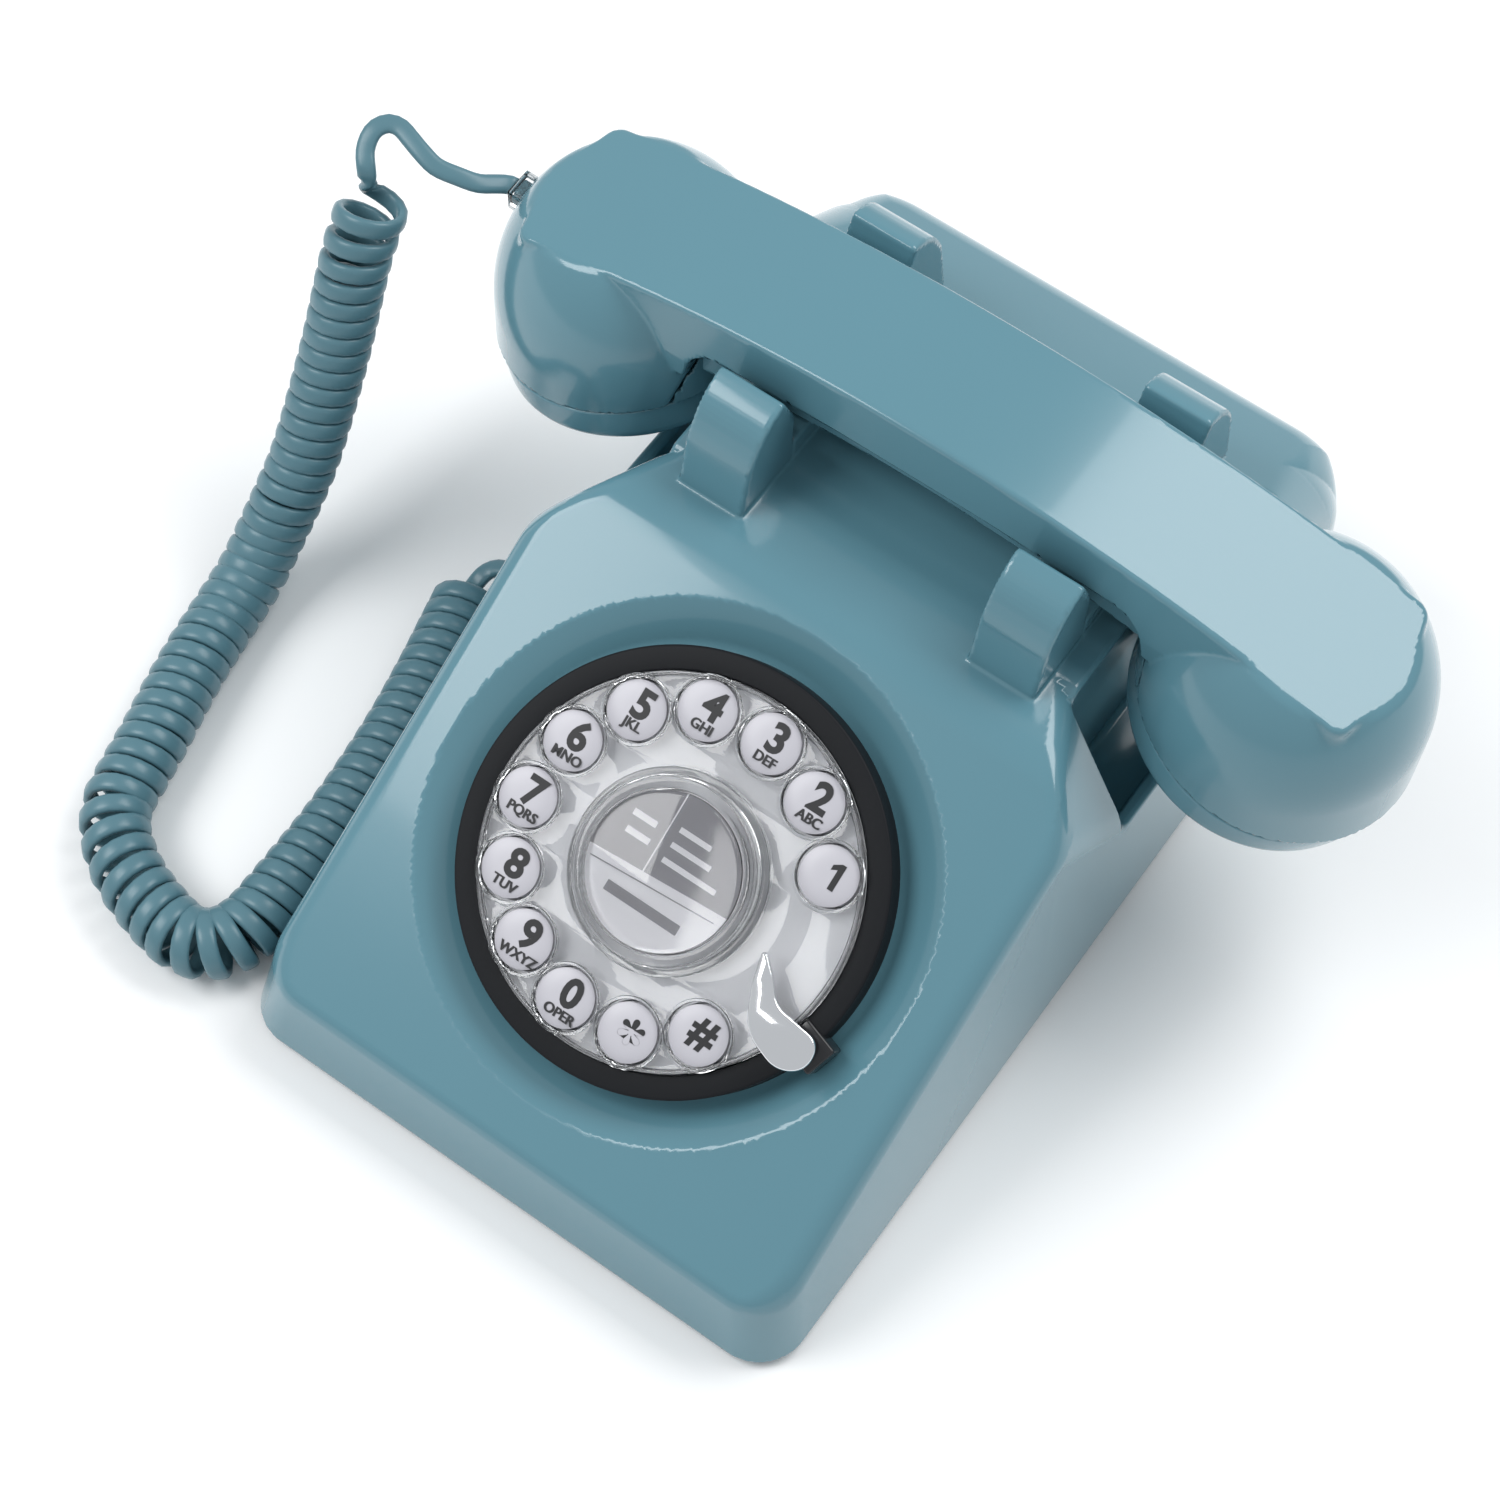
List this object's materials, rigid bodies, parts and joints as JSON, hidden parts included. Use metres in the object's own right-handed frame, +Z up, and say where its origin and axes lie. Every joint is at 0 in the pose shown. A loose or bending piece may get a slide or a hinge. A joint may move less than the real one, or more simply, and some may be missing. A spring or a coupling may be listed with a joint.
{
  "type": "push-button desk telephone",
  "caption": "Desk telephone with sloping case, round push-button dial face, four cradle horns, arched handset lying across the top and a curly handset cord.",
  "frame": {"origin": "middle of the footprint on the table, without the free cord", "axes": "+X to the user's right, +Y to the back of the case, +Z up"},
  "size_m": [0.2744, 0.2457, 0.122],
  "materials": {
    "shell": "gloss",
    "base": "matt",
    "rubber": "matt",
    "steel": "plated",
    "board": "lacquered laminate",
    "black": "matt",
    "grey": "satin",
    "clear": "clear moulded plastic, as glass",
    "chrome": "polished",
    "key": "satin",
    "label": "printed",
    "capsule": "satin",
    "cord": "satin"
  },
  "bodies": {
    "case": {"body_shell": "shell", "base_plate": "base", "rubber_feet": "rubber", "base_screws": "steel", "ballast_weight": "steel", "main_board": "board", "speaker": "black", "hook_spring": "steel", "hook_switch": "black", "line_jack": "black", "handset_jack": "black", "ringer_switch": "black", "dial_ring": "black", "dial_plate": "grey", "finger_wheel": "clear", "hub_ring": "clear", "keypad_board": "board", "keypad_membrane": "rubber", "stop_block": "black", "cord_lead_handset": "cord", "cord_coil": "cord", "cord_lead_base": "cord", "base_plug": "clear"},
    "handset": {"handset_top_shell": "shell", "handset_grip_cover": "shell", "ear_cap": "shell", "mouth_cap": "shell", "receiver_capsule": "capsule", "microphone_capsule": "capsule", "handset_weight": "steel", "handset_screws": "steel", "handset_socket": "black", "handset_plug": "clear"},
    "hook": {"hook_plungers": "shell"},
    "ringer_slider": {"ringer_knob": "grey"},
    "redial_button": {"redial_key": "chrome"},
    "speaker_button": {"speaker_key": "key", "speaker_label": "label", "speaker_lens": "clear"},
    "button_1": {"key_1": "key"},
    "button_2": {"key_2": "key"},
    "button_3": {"key_3": "key"},
    "button_4": {"key_4": "key"},
    "button_5": {"key_5": "key"},
    "button_6": {"key_6": "key"},
    "button_7": {"key_7": "key"},
    "button_8": {"key_8": "key"},
    "button_9": {"key_9": "key"},
    "button_0": {"key_0": "key"},
    "button_star": {"key_star": "key"},
    "button_hash": {"key_hash": "key"}
  },
  "joints": [
    {"name": "handset_lift", "type": "slide", "parent": "case", "child": "handset", "axis": [0, 0, 1], "range_m": [0, 0.07]},
    {"name": "hook_travel", "type": "slide", "parent": "case", "child": "hook", "axis": [0, 0, 1], "range_m": [0, 0.0035], "deforming": ["hook_spring"]},
    {"name": "ringer_slide", "type": "slide", "parent": "case", "child": "ringer_slider", "axis": [1, 0, 0], "range_m": [0, 0.004]},
    {"name": "press_1", "type": "slide", "parent": "case", "child": "button_1", "axis": [0, 0.4939, -0.8695], "range_m": [0, 0.0015], "stiffness_N_per_m": 300},
    {"name": "press_2", "type": "slide", "parent": "case", "child": "button_2", "axis": [0, 0.4939, -0.8695], "range_m": [0, 0.0015], "stiffness_N_per_m": 300},
    {"name": "press_3", "type": "slide", "parent": "case", "child": "button_3", "axis": [0, 0.4939, -0.8695], "range_m": [0, 0.0015], "stiffness_N_per_m": 300},
    {"name": "press_4", "type": "slide", "parent": "case", "child": "button_4", "axis": [0, 0.4939, -0.8695], "range_m": [0, 0.0015], "stiffness_N_per_m": 300},
    {"name": "press_5", "type": "slide", "parent": "case", "child": "button_5", "axis": [0, 0.4939, -0.8695], "range_m": [0, 0.0015], "stiffness_N_per_m": 300},
    {"name": "press_6", "type": "slide", "parent": "case", "child": "button_6", "axis": [0, 0.4939, -0.8695], "range_m": [0, 0.0015], "stiffness_N_per_m": 300},
    {"name": "press_7", "type": "slide", "parent": "case", "child": "button_7", "axis": [0, 0.4939, -0.8695], "range_m": [0, 0.0015], "stiffness_N_per_m": 300},
    {"name": "press_8", "type": "slide", "parent": "case", "child": "button_8", "axis": [0, 0.4939, -0.8695], "range_m": [0, 0.0015], "stiffness_N_per_m": 300},
    {"name": "press_9", "type": "slide", "parent": "case", "child": "button_9", "axis": [0, 0.4939, -0.8695], "range_m": [0, 0.0015], "stiffness_N_per_m": 300},
    {"name": "press_0", "type": "slide", "parent": "case", "child": "button_0", "axis": [0, 0.4939, -0.8695], "range_m": [0, 0.0015], "stiffness_N_per_m": 300},
    {"name": "press_star", "type": "slide", "parent": "case", "child": "button_star", "axis": [0, 0.4939, -0.8695], "range_m": [0, 0.0015], "stiffness_N_per_m": 300},
    {"name": "press_hash", "type": "slide", "parent": "case", "child": "button_hash", "axis": [0, 0.4939, -0.8695], "range_m": [0, 0.0015], "stiffness_N_per_m": 300},
    {"name": "press_speaker", "type": "slide", "parent": "case", "child": "speaker_button", "axis": [0, 0.4939, -0.8695], "range_m": [0, 0.0012], "stiffness_N_per_m": 500},
    {"name": "press_redial", "type": "slide", "parent": "case", "child": "redial_button", "axis": [0, 0.4939, -0.8695], "range_m": [0, 0.0012], "stiffness_N_per_m": 300}
  ],
  "couplings": [
    {"joint": "hook_travel", "follows": "handset_lift", "ratio": 0.05}
  ]
}
